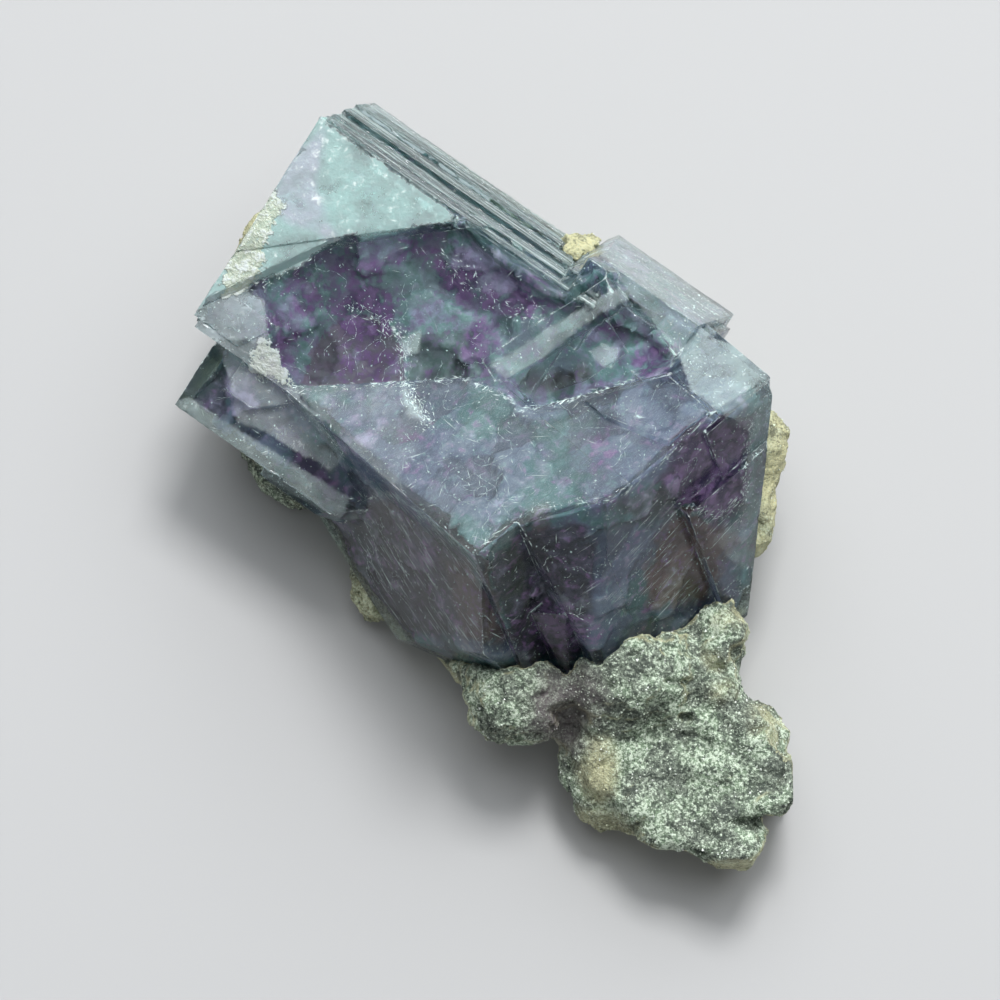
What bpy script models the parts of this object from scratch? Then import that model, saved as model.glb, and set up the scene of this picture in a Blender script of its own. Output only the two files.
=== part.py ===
# Fluorite specimen: intergrown cubic crystals on a piece of granular rock, lying on its flat underside.
import math

import bmesh
import bpy
from mathutils import Euler, Matrix, Vector

# Driving sizes. Shapes are drawn in millimetres in the front frame: X right, Y up the crystal front,
# Z out of it. The front frame then leans back by LEAN and everything is scaled by MM to metres.
MM = 0.001
LEAN = math.radians(15)
LIFT = 18.6
CONTACT_GAP = 0.3

UPPER_CORNER = Vector((-13.8, 30.9, 0.8))
LOWER_CORNER = Vector((-1.1, -5.7, 12.0))

ROCK_VOXEL = 0.95
ROCK_SMOOTHINGS = 3
CRAG_SIZE = 6.0
CRAG_HEIGHT = 1.5
KNOB_SIZE = 2.2
KNOB_HEIGHT = 0.55
ROCK_KEEP = 0.24


def lattice(origin, first, second):
    """Cube axes as a matrix: its columns are first, second and the axis at right angles to both."""
    x_axis = Vector(first).normalized()
    y_axis = (Vector(second) - x_axis * x_axis.dot(Vector(second))).normalized()
    axes = Matrix((x_axis, y_axis, x_axis.cross(y_axis))).transposed()
    return Matrix.Translation(origin) @ axes.to_4x4()


# Upper crystals: X runs down to the right, Y down to the left, Z away from the front.
# Lower crystals: X runs up to the left, Y up to the right, Z down and back, from the nearest corner.
UPPER = lattice(UPPER_CORNER, (0.809, -0.567, 0.157), (-0.532, -0.819, -0.2155))
LOWER = lattice(LOWER_CORNER, (-0.620, 0.539, -0.570), (0.748, 0.627, -0.221))


def spun(base, at, degrees):
    """The same axes turned about the third one at a point, for a crystal that grew askew."""
    return base @ Matrix.Translation(at) @ Euler((0, 0, math.radians(degrees))).to_matrix().to_4x4()


def face_cut(axes, start, end, lean=0, level=0):
    """A plane through a line on the crystal's front face: what lies left of start to end is cut off.

    Leaning the plane makes the new side slope outwards as it goes back from the front.
    """
    run = Vector((end[0] - start[0], end[1] - start[1], 0)).normalized()
    side = Vector((run.y, -run.x, 0))
    slope = math.radians(lean)
    normal = side * math.cos(slope) - Vector((0, 0, math.sin(slope)))
    point = axes @ Vector((start[0], start[1], level))
    return point, (axes.to_3x3() @ normal).normalized()


def outline_cut(start, end, lean=0, level=0):
    """A plane through a line seen from the front: what lies left of start to end is cut off."""
    run = Vector((end[0] - start[0], end[1] - start[1], 0)).normalized()
    slope = math.radians(lean)
    normal = Vector((-run.y, run.x, 0)) * math.cos(slope) + Vector((0, 0, math.sin(slope)))
    return Vector((start[0], start[1], level)), normal


# Every crystal is a cell of one of the lattices: three spans along its axes and the planes that trim it.
# A striated step has its front and back depth, how far it sets in, and where it ends along the side.
LOWER_LEFT_OUTLINE = outline_cut((-9.0, -12.0), (-14.9, -2.6), lean=-4, level=-8)
LOWER_LEFT_FOOT = outline_cut((4.0, -17.6), (-9.0, -11.6), lean=10, level=-6)
LOWER_LEFT_SLOPE = (LOWER @ Vector((0, 0, 4.6)), Vector((-0.784, -0.448, 0.43)))
RIGHT_OUTLINE = outline_cut((23.4, 8.0), (23.2, -8.0), lean=-5, level=0)
STRIATED_STEPS = (
    (0.9, 3.7, 0.00, 27.2),
    (3.3, 5.7, -0.34, 26.3),
    (5.3, 8.0, -0.10, 25.2),
    (7.6, 10.6, -0.50, 23.6),
    (10.2, 12.8, -0.22, 22.0),
    (12.4, 15.3, -0.60, 20.6),
    (14.9, 19.5, -0.30, 19.4),
)
STRIATED_START = -0.45
STRIATED_DRIFT = 0.07
STRIATED_WIDTH = 9.0


def upper_crystals():
    """The big upper cube with its pale front slab, its stepped side and the cubes grown beside it."""
    bar = spun(UPPER, (28.6, -1.6, 1.0), 23)
    cells = [
        (UPPER, (-0.4, 27.4), (0.3, 21.2), (0.8, 19.5), []),
        (UPPER, (-0.7, 16.0), (-0.15, 20.9), (0.0, 3.2), [
            face_cut(UPPER, (5.7, 8.0), (-0.5, 18.0), 38),
        ]),
        (UPPER, (-0.55, 16.0), (-0.25, 16.0), (-0.2, 3.6), [
            face_cut(UPPER, (14.5, 0.2), (5.7, 8.0), 38),
        ]),
        (UPPER, (-0.95, 8.0), (17.0, 20.4), (0.7, 9.0), [
            face_cut(UPPER, (7.0, 14.0), (3.0, 21.0), 30),
        ]),
        (UPPER, (1.5, 24.0), (12.0, 28.2), (2.3, 17.0), [
            face_cut(UPPER, (25.4, 21.8), (17.6, 28.7), 30, level=2.3),
        ]),
        (UPPER, (4.6, 10.4), (18.0, 24.4), (1.6, 8.0), [
            face_cut(UPPER, (11.0, 20.5), (6.0, 24.9), 20),
        ]),
        (UPPER, (10.7, 19.0), (20.0, 29.3), (3.7, 15.0), [
            face_cut(UPPER, (22.0, 24.5), (16.0, 30.0), 25, level=3.7),
        ]),
        (UPPER, (25.1, 28.5), (-3.3, 4.0), (0.9, 9.0), [
            face_cut(UPPER, (26.8, -3.4), (28.6, 1.0), 12),
        ]),
        (bar, (-1.6, 1.3), (-0.6, 12.4), (-0.5, 4.0), [face_cut(bar, (2.0, -2.0), (1.2, 13.0), 40)]),
        (bar, (0.6, 4.6), (1.6, 8.4), (0.9, 6.0), [face_cut(bar, (5.4, 1.0), (3.2, 9.0), 30)]),
        (UPPER, (22.8, 35.7), (-3.4, 8.0), (3.4, 17.5), [
            face_cut(UPPER, (36.8, -1.2), (31.6, 8.8), 18, level=3.4),
            face_cut(UPPER, (22.4, 1.6), (26.4, -4.2), 8, level=3.4),
        ]),
        (UPPER, (28.0, 36.5), (-2.6, 5.0), (5.6, 15.5), []),
        (UPPER, (24.0, 35.8), (-1.4, 12.0), (2.1, 10.0), [
            face_cut(UPPER, (29.2, -2.6), (36.0, -0.4), 15, level=2.1),
        ]),
    ]
    for front, back, inset, end in STRIATED_STEPS:
        start = STRIATED_START - STRIATED_DRIFT * front
        cells.append((UPPER, (start, end), (inset, STRIATED_WIDTH), (front, back), []))
    return cells


def lower_crystals():
    """The cube whose corner stands nearest the front, its stepped right side and the block right of it."""
    return [
        (LOWER, (0.0, 27.0), (0.0, 13.0), (0.0, 25.0), [LOWER_LEFT_FOOT]),
        (LOWER, (-4.4, 22.0), (4.6, 13.6), (0.06, 24.0), [
            face_cut(LOWER, (-4.4, 11.6), (-0.9, 5.4), 12),
        ]),
        (LOWER, (-4.5, 14.0), (9.2, 23.4), (0.1, 24.5), [
            face_cut(LOWER, (-5.0, 11.2), (0.5, 8.6), 14),
            face_cut(LOWER, (8.6, 12.0), (2.2, 22.4), 22),
            RIGHT_OUTLINE,
        ]),
        (LOWER, (-4.1, 12.0), (16.5, 22.9), (-0.3, 8.0), [
            face_cut(LOWER, (-4.4, 18.4), (3.0, 16.2), 30),
            face_cut(LOWER, (4.6, 17.2), (1.8, 22.4), 24),
        ]),
        (LOWER, (-5.0, 6.6), (21.5, 28.5), (1.1, 24.0), [RIGHT_OUTLINE]),
        (LOWER, (-3.6, 6.0), (26.4, 29.6), (2.9, 20.0), [RIGHT_OUTLINE]),
        (LOWER, (-5.6, 6.0), (17.0, 27.0), (7.5, 25.0), [RIGHT_OUTLINE]),
        (LOWER, (1.0, 30.0), (-20.0, 6.0), (2.0, 30.0), [
            LOWER_LEFT_SLOPE,
            LOWER_LEFT_OUTLINE,
            LOWER_LEFT_FOOT,
        ]),
        (LOWER, (-2.4, 10.0), (2.6, 13.0), (11.5, 25.0), [
            face_cut(LOWER, (-3.4, 5.2), (1.0, 1.8), 10, level=11.5),
        ]),
    ]


# Rock outline seen from the front, clockwise from the notch between the upper crystals.
ROCK_OUTLINE = (
    (5.6, 21.3), (8.2, 21.7), (10.6, 20.9), (14.0, 18.2), (18.4, 14.6), (21.6, 11.0), (23.6, 7.8),
    (26.3, 6.6), (26.5, 4.8), (25.5, 2.0), (24.9, -2.6), (24.2, -5.4), (22.4, -7.6), (22.0, -9.6),
    (20.8, -12.4), (21.2, -15.4), (22.6, -18.8), (25.0, -21.8), (26.8, -24.6), (26.4, -26.6),
    (24.4, -29.4), (22.6, -31.8), (20.6, -32.6), (17.8, -32.0), (14.4, -31.0), (12.4, -29.4),
    (11.4, -27.0), (9.4, -24.4), (6.6, -22.0), (1.4, -19.4), (-4.0, -15.6), (-8.4, -11.8),
    (-10.8, -8.2), (-13.0, -4.6), (-16.4, 0.6), (-20.6, 5.0), (-22.6, 10.0), (-22.4, 14.6),
    (-20.6, 18.6), (-19.2, 22.4), (-16.6, 25.0), (-12.2, 26.2), (-4.6, 23.6), (1.6, 20.2),
)
ROCK_TOP_LEVEL = -8.2
ROCK_TOP_SLOPE = (0.076, -0.15)
ROCK_THICKNESS = 40.0
ROCK_FLOOR_CENTRE = Vector((1.0, -3.0))
ROCK_FLOOR_SHRINK = 0.84
ROCK_UNDER_SLOPE = 1.4
ROCK_MIDDLE_LEVEL = 0.6
ROOT_DEPTH = 4.2
GROUND_SIZE = Vector((120.0, 120.0, 40.0))
# Lumps on the rock: centre and half-widths.
ROCK_LUMPS = (
    ((3.0, -17.6, -5.2), (5.4, 4.2, 4.6)),
    ((11.4, -15.8, -5.4), (6.6, 5.4, 5.4)),
    ((19.6, -13.0, -7.0), (2.4, 5.0, 3.4)),
    ((22.6, -24.0, -8.0), (3.6, 5.6, 4.2)),
    ((20.8, -30.4, -6.6), (2.3, 2.2, 2.0)),
    ((10.8, -25.0, -8.2), (4.6, 4.6, 4.0)),
    ((24.0, 4.4, -8.0), (1.9, 2.8, 2.4)),
    ((23.0, -1.8, -8.2), (1.6, 4.4, 2.2)),
    ((8.2, 19.6, -10.6), (3.6, 2.6, 2.6)),
    ((-19.8, 17.6, -8.6), (2.2, 6.0, 3.4)),
    ((-17.2, 22.8, -9.6), (2.4, 3.0, 3.0)),
    ((-9.6, -7.4, -13.6), (2.2, 4.6, 1.9)),
    ((-18.4, 17.0, -14.4), (3.0, 7.0, 6.0)),
    ((-4.0, 20.0, -16.6), (10.0, 6.0, 4.0)),
    ((-15.0, 8.0, -17.0), (8.0, 10.0, 4.6)),
)


def clear_scene():
    for obj in list(bpy.data.objects):
        bpy.data.objects.remove(obj, do_unlink=True)


def new_collection(name):
    collection = bpy.data.collections.new(name)
    bpy.context.scene.collection.children.link(collection)
    return collection


def material(name, colour, roughness, alpha=1.0):
    made = bpy.data.materials.new(name)
    made.use_nodes = True
    shader = made.node_tree.nodes["Principled BSDF"]
    shader.inputs["Base Color"].default_value = (*colour, 1.0)
    shader.inputs["Roughness"].default_value = roughness
    shader.inputs["Metallic"].default_value = 0.0
    shader.inputs["Alpha"].default_value = alpha
    made.diffuse_color = (*colour, alpha)
    return made


def stand():
    """Front frame in millimetres to the standing part in metres."""
    return Matrix.Translation((0, 0, LIFT * MM)) @ Matrix.Rotation(LEAN, 4, "X") @ Matrix.Scale(MM, 4)


def add_object(name, mesh, collection, helper=False):
    obj = bpy.data.objects.new(name, mesh)
    collection.objects.link(obj)
    if helper:
        obj.hide_render = True
        obj.display_type = "WIRE"
    return obj


def trim(shape, point, normal):
    """Cuts off what lies on the normal's side of the plane and closes the cut."""
    geometry = shape.verts[:] + shape.edges[:] + shape.faces[:]
    cut = bmesh.ops.bisect_plane(
        shape, geom=geometry, plane_co=point, plane_no=normal, clear_outer=True, dist=1e-5)
    rim = [item for item in cut["geom_cut"] if isinstance(item, bmesh.types.BMEdge)]
    if rim:
        bmesh.ops.edgenet_fill(shape, edges=rim)


def crystal(name, cell, collection, grow=0.0):
    """One crystal: a box on its lattice's axes, trimmed by its planes and its root, grown by grow."""
    axes, *spans, cuts = cell
    low = Vector([span[0] - grow for span in spans])
    high = Vector([span[1] + grow for span in spans])
    shape = bmesh.new()
    box = Matrix.Translation((low + high) / 2) @ Matrix.Diagonal((*(high - low), 1))
    bmesh.ops.create_cube(shape, size=1, matrix=axes @ box)
    for point, normal in (*cuts, root_cut()):
        trim(shape, point + normal * grow, normal)
    bmesh.ops.transform(shape, matrix=stand(), verts=shape.verts)
    bmesh.ops.recalc_face_normals(shape, faces=shape.faces)
    mesh = bpy.data.meshes.new(name)
    shape.to_mesh(mesh)
    shape.free()
    return add_object(name, mesh, collection, helper=True)


def boolean(obj, operation, collection):
    modifier = obj.modifiers.new(operation.title(), "BOOLEAN")
    modifier.operation = operation
    modifier.operand_type = "COLLECTION"
    modifier.collection = collection
    modifier.solver = "EXACT"


def rock_top():
    """A point and the normal of the plane that the rock's upper side keeps to."""
    across, along = ROCK_TOP_SLOPE
    return Vector((0, 0, ROCK_TOP_LEVEL)), Vector((-across, -along, 1)).normalized()


def root_cut():
    """The plane in the rock at which the crystals end."""
    point, normal = rock_top()
    return point - normal * ROOT_DEPTH, -normal


def fused_crystals(parts, cells):
    """The cluster: every crystal joined in one closed solid."""
    others = new_collection("crystal cells")
    for number, cell in enumerate(cells[1:], 1):
        crystal(f"cell_{number:02d}", cell, others)
    cluster = crystal("fluorite_crystals", cells[0], parts)
    cluster.hide_render = False
    cluster.display_type = "TEXTURED"
    boolean(cluster, "UNION", others)
    cluster.data.materials.append(material("fluorite", (0.47, 0.53, 0.63), 0.12, 0.75))
    return cluster


def crystal_socket(cells):
    """The crystals grown by the contact gap, which the rock is hollowed by."""
    socket = new_collection("crystal socket")
    for number, cell in enumerate(cells):
        crystal(f"socket_{number:02d}", cell, socket, grow=CONTACT_GAP)
    return socket


def centre_over_origin(parts, helpers):
    """Puts everything under one empty, moved so that the origin is below the middle of the specimen."""
    bpy.context.view_layer.update()
    graph = bpy.context.evaluated_depsgraph_get()
    corners = []
    for obj in parts.objects:
        solid = obj.evaluated_get(graph)
        corners += [solid.matrix_world @ Vector(corner) for corner in solid.bound_box]
    anchor = bpy.data.objects.new("specimen_anchor", None)
    bpy.context.scene.collection.objects.link(anchor)
    for axis in range(2):
        along = [corner[axis] for corner in corners]
        anchor.location[axis] = -(min(along) + max(along)) / 2
    for collection in (parts, *helpers):
        for obj in collection.objects:
            obj.parent = anchor


def ground_cutter():
    """A slab below the standing plane, whose top face gives the rock its flat underside."""
    ground = new_collection("ground")
    shape = bmesh.new()
    size = GROUND_SIZE * MM
    place = Matrix.Translation((0, 0, -size.z / 2)) @ Matrix.Diagonal((*size, 1))
    bmesh.ops.create_cube(shape, size=1, matrix=place)
    mesh = bpy.data.meshes.new("ground_slab")
    shape.to_mesh(mesh)
    shape.free()
    add_object("ground_slab", mesh, ground, helper=True)
    return ground


def rock_body():
    """Mesh of the rock before it is roughened: the outline as a tapering slab, with the lumps in it."""
    curve = bpy.data.curves.new("rock_outline", "CURVE")
    curve.dimensions = "2D"
    curve.fill_mode = "BOTH"
    curve.extrude = ROCK_THICKNESS / 2
    spline = curve.splines.new("POLY")
    spline.points.add(len(ROCK_OUTLINE) - 1)
    for point, (x, y) in zip(spline.points, ROCK_OUTLINE):
        point.co = (x, y, 0, 1)
    spline.use_cyclic_u = True
    slab = bpy.data.objects.new("rock_outline", curve)
    bpy.context.scene.collection.objects.link(slab)
    graph = bpy.context.evaluated_depsgraph_get()
    mesh = bpy.data.meshes.new_from_object(slab.evaluated_get(graph))
    bpy.data.objects.remove(slab, do_unlink=True)

    body = bmesh.new()
    body.from_mesh(mesh)
    bmesh.ops.remove_doubles(body, verts=body.verts, dist=1e-4)
    bmesh.ops.translate(body, verts=body.verts, vec=(0, 0, -ROCK_THICKNESS / 2))
    for vertex in body.verts:
        if vertex.co.z < -ROCK_THICKNESS / 2:
            vertex.co.xy = ROCK_FLOOR_CENTRE + (vertex.co.xy - ROCK_FLOOR_CENTRE) * ROCK_FLOOR_SHRINK
    trim(body, *rock_top())
    point, normal = LOWER_LEFT_SLOPE
    trim(body, point - normal * ROCK_UNDER_SLOPE, normal)
    for centre, half in ROCK_LUMPS:
        place = Matrix.Translation(centre) @ Matrix.Diagonal((*half, 1))
        bmesh.ops.create_icosphere(body, subdivisions=3, radius=1, matrix=place)
    bmesh.ops.transform(body, matrix=stand(), verts=body.verts)
    bmesh.ops.recalc_face_normals(body, faces=body.faces)
    body.to_mesh(mesh)
    body.free()
    mesh.name = "matrix_rock"
    return mesh


def displace(obj, name, kind, size, strength):
    texture = bpy.data.textures.new(name, kind)
    texture.noise_scale = size * MM
    modifier = obj.modifiers.new(name, "DISPLACE")
    modifier.texture = texture
    modifier.texture_coords = "LOCAL"
    modifier.strength = strength * MM
    modifier.mid_level = ROCK_MIDDLE_LEVEL


def matrix_rock(parts, cells):
    """The rock under the crystals, rough all over, flat underneath and hollowed where they sit in it."""
    rock = add_object("matrix_rock", rock_body(), parts)
    remesh = rock.modifiers.new("Remesh", "REMESH")
    remesh.mode = "VOXEL"
    remesh.voxel_size = ROCK_VOXEL * MM
    smooth = rock.modifiers.new("Smooth", "SMOOTH")
    smooth.iterations = ROCK_SMOOTHINGS
    displace(rock, "Crags", "CLOUDS", CRAG_SIZE, CRAG_HEIGHT)
    displace(rock, "Knobs", "STUCCI", KNOB_SIZE, KNOB_HEIGHT)
    decimate = rock.modifiers.new("Decimate", "DECIMATE")
    decimate.ratio = ROCK_KEEP
    boolean(rock, "DIFFERENCE", crystal_socket(cells))
    boolean(rock, "DIFFERENCE", ground_cutter())
    rock.data.materials.append(material("matrix", (0.42, 0.43, 0.38), 0.85))
    return rock


clear_scene()
specimen = new_collection("fluorite specimen")
crystal_cells = upper_crystals() + lower_crystals()
fused_crystals(specimen, crystal_cells)
matrix_rock(specimen, crystal_cells)
centre_over_origin(specimen, [group for group in bpy.data.collections if group != specimen])
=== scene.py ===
import itertools
import math

import bpy
import numpy as np
from mathutils import Matrix, Vector


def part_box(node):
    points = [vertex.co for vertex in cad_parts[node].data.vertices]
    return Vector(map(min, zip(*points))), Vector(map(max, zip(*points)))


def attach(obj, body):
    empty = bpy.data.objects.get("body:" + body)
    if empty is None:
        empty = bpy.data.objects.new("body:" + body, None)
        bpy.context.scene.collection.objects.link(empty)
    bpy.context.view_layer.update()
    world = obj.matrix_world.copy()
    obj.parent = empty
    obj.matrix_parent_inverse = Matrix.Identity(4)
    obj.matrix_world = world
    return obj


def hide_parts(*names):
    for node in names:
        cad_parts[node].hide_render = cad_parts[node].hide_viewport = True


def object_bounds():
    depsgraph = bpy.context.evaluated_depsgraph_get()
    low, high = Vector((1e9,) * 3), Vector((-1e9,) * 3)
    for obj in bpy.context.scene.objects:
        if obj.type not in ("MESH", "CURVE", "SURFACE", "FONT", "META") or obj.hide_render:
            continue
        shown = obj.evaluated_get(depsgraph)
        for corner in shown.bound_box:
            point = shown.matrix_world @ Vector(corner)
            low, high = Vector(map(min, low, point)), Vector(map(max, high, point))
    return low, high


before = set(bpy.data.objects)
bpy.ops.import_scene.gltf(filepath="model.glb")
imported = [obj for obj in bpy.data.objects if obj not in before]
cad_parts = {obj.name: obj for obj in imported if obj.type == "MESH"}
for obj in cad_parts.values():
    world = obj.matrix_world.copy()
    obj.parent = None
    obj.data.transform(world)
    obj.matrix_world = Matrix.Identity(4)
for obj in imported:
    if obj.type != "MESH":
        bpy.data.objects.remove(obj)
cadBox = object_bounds()
mm = 0.001

# The front frame is the one the specimen is drawn in: millimetres, X right, Y up the crystal front,
# Z out of it. It leans back on the floor and its middle is lifted above it.
front = {
    "lean": 15.0,
    "lift": 18.6,
    "shift": (0.4832, -3.5420),
}
frontToWorld = (
    Matrix.Translation((front["shift"][0] * mm, front["shift"][1] * mm, front["lift"] * mm))
    @ Matrix.Rotation(math.radians(front["lean"]), 4, "X")
    @ Matrix.Scale(mm, 4)
)
frontWay = np.array(frontToWorld)[:3, 2] / mm   # its third axis in the world

# The two lattices that the crystals grew on: a corner and the first two axes, in the front frame.
# Upper: X down to the right, Y down to the left, Z away. Lower: X up to the left, Y up to the right.
lattices = {
    "upper": ((-13.8, 30.9, 0.8), (0.809, -0.567, 0.157), (-0.532, -0.819, -0.2155)),
    "lower": ((-1.1, -5.7, 12.0), (-0.620, 0.539, -0.570), (0.748, 0.627, -0.221)),
}


def latticeMatrix(name):
    # columns are the first axis, the second made square to it, and their cross product
    corner, first, second = (Vector(part) for part in lattices[name])
    first = first.normalized()
    second = (second - first * first.dot(second)).normalized()
    axes = Matrix((first, second, first.cross(second))).transposed()
    return Matrix.Translation(corner) @ axes.to_4x4()


def moved(points, matrix):
    # every row times the matrix, as one array product
    table = np.array(matrix)
    return points @ table[:3, :3].T + table[:3, 3]


def inFront(points):
    # world metres to front frame millimetres
    return moved(points, frontToWorld.inverted())


def inLattice(points, name):
    # world metres to lattice millimetres
    return moved(inFront(points), latticeMatrix(name).inverted())


def noise(points, size, seed):
    # value noise: a random number at each corner of a grid, blended by 3t^2 - 2t^3, from -1 to 1
    cell = points / size
    base = np.floor(cell).astype(np.int64)
    part = cell - base
    part = part * part * (3 - 2 * part)
    total = np.zeros(len(points))
    for corner in itertools.product((0, 1), repeat=3):
        spot = base + corner
        code = (spot[:, 0] * 73856093) ^ (spot[:, 1] * 19349663) ^ (spot[:, 2] * 83492791)
        code = ((code ^ (seed * 2654435761)) & 0xFFFFFFFF) * 1274126177 & 0xFFFFFFFF
        code = ((code ^ (code >> 15)) * 2246822519) & 0xFFFFFFFF
        value = ((code ^ (code >> 13)) & 0xFFFF) / 32767.5 - 1
        share = np.prod(np.where(corner, part, 1 - part), axis=1)
        total += value * share
    return total


def noiseWay(points, size, seed):
    # three noises as the parts of a direction
    return np.stack([noise(points, size, seed + i) for i in range(3)], axis=1)


def layered(points, size, seed, octaves=3):
    # noise plus half as much at half the size, and so on, over the sum of the shares
    shares = 0.5 ** np.arange(octaves)
    layers = [share * noise(points, size * share, seed + i) for i, share in enumerate(shares)]
    return np.sum(layers, axis=0) / shares.sum()


def ramp(values, low, high):
    # 0 below low, 1 above high and a smooth 3t^2 - 2t^3 between
    t = np.clip((values - low) / (high - low), 0, 1)
    return t * t * (3 - 2 * t)


def between(limits, share):
    # from the first limit to the second
    return limits[0] + (limits[1] - limits[0]) * share


def unitRows(vectors):
    # each row over its length
    return vectors / np.maximum(np.linalg.norm(vectors, axis=1), 1e-18)[:, None]


def placed(name, data):
    # an object of that name in the scene
    piece = bpy.data.objects.new(name, data)
    bpy.context.scene.collection.objects.link(piece)
    return piece


def meshArrays(mesh):
    # vertex places and triangle corners of a mesh as arrays
    mesh.calc_loop_triangles()
    points = np.empty(len(mesh.vertices) * 3)
    mesh.vertices.foreach_get("co", points)
    corners = np.empty(len(mesh.loop_triangles) * 3, np.int64)
    mesh.loop_triangles.foreach_get("vertices", corners)
    return points.reshape(-1, 3), corners.reshape(-1, 3)


def merged(points, faces, grain=1e-6):
    # points that round to the same grain become one, and triangles that collapse are dropped
    rounded, place = np.unique(np.round(points / grain), axis=0, return_inverse=True)
    faces = place.reshape(-1)[faces]
    whole = (faces != np.roll(faces, 1, axis=1)).all(axis=1)
    return rounded * grain, faces[whole]


def packedSolid(name):
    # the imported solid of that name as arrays, in world metres
    return merged(*meshArrays(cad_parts[name].data))


def faceNormals(points, faces):
    # cross product of two sides of each triangle; its length is twice the area
    a, b, c = (points[faces[:, i]] for i in range(3))
    return np.cross(b - a, c - a)


def pointNormals(points, faces, normals=None):
    # area-weighted mean of the normals round each point, and how far those agree, from 0 to 1
    normals = faceNormals(points, faces) if normals is None else normals
    total = np.zeros_like(points)
    weight = np.zeros(len(points))
    area = np.linalg.norm(normals, axis=1)
    for i in range(3):
        np.add.at(total, faces[:, i], normals)
        np.add.at(weight, faces[:, i], area)
    length = np.linalg.norm(total, axis=1)
    return total / np.maximum(length, 1e-18)[:, None], length / np.maximum(weight, 1e-18)


def splitLong(points, faces, tags, unit, limitOf, rounds=9):
    # each round halves every side longer than its limit at its middle; a triangle with one, two
    # or three halved sides becomes two, three or four, and the pieces keep the triangle's tag.
    # A side is sharp where the unit normals of its two facets sum to clearly less than two
    for _ in range(rounds):
        sides = np.concatenate([faces[:, [0, 1]], faces[:, [1, 2]], faces[:, [2, 0]]])
        sides.sort(axis=1)
        pairs, place = np.unique(sides[:, 0] * len(points) + sides[:, 1], return_inverse=True)
        place = place.reshape(-1)
        first, second = pairs // len(points), pairs % len(points)
        middle = (points[first] + points[second]) / 2
        together = np.zeros((len(pairs), 3))
        np.add.at(together, place, np.tile(unit[tags], (3, 1)))
        sharp = np.linalg.norm(together, axis=1) < 1.97
        long = np.linalg.norm(points[first] - points[second], axis=1) > limitOf(middle, sharp)
        if not long.any():
            break
        number = np.full(len(pairs), -1)
        number[long] = len(points) + np.arange(long.sum())
        points = np.concatenate([points, middle[long]])
        halves = number[place].reshape(3, -1).T
        pieces, kept = [], []
        for pattern in itertools.product((False, True), repeat=3):
            chosen = ((halves >= 0) == pattern).all(axis=1)
            turn = 0
            if sum(pattern) == 1:
                turn = pattern.index(True)
            elif sum(pattern) == 2:
                turn = (pattern.index(False) + 1) % 3
            a, b, c = np.roll(faces[chosen], -turn, axis=1).T
            ab, bc, ca = np.roll(halves[chosen], -turn, axis=1).T
            made = {
                0: [(a, b, c)],
                1: [(a, ab, c), (ab, b, c)],
                2: [(ab, b, bc), (a, ab, bc), (a, bc, c)],
                3: [(a, ab, ca), (ab, b, bc), (ca, bc, c), (ab, bc, ca)],
            }[sum(pattern)]
            for corners in made:
                pieces.append(np.stack(corners, axis=1))
                kept.append(tags[chosen])
        faces, tags = np.concatenate(pieces), np.concatenate(kept)
    return points, faces, tags


def addPiece(name, points, faces, material, values=None, smooth=True):
    # a mesh object at the origin from arrays, with its material and its numbers per point
    mesh = bpy.data.meshes.new(name)
    mesh.vertices.add(len(points))
    mesh.vertices.foreach_set("co", points.astype(np.float32).ravel())
    mesh.loops.add(faces.size)
    mesh.loops.foreach_set("vertex_index", faces.astype(np.int32).ravel())
    mesh.polygons.add(len(faces))
    mesh.polygons.foreach_set("loop_start", np.arange(0, faces.size, faces.shape[1], dtype=np.int32))
    mesh.update(calc_edges=True)
    mesh.polygons.foreach_set("use_smooth", np.full(len(faces), smooth))
    for key, numbers in (values or {}).items():
        mesh.attributes.new(key, "FLOAT", "POINT").data.foreach_set("value", numbers.astype(np.float32))
    mesh.materials.append(material)
    piece = placed(name, mesh)
    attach(piece, "root")
    print(name, len(faces), "faces")
    return piece


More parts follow.
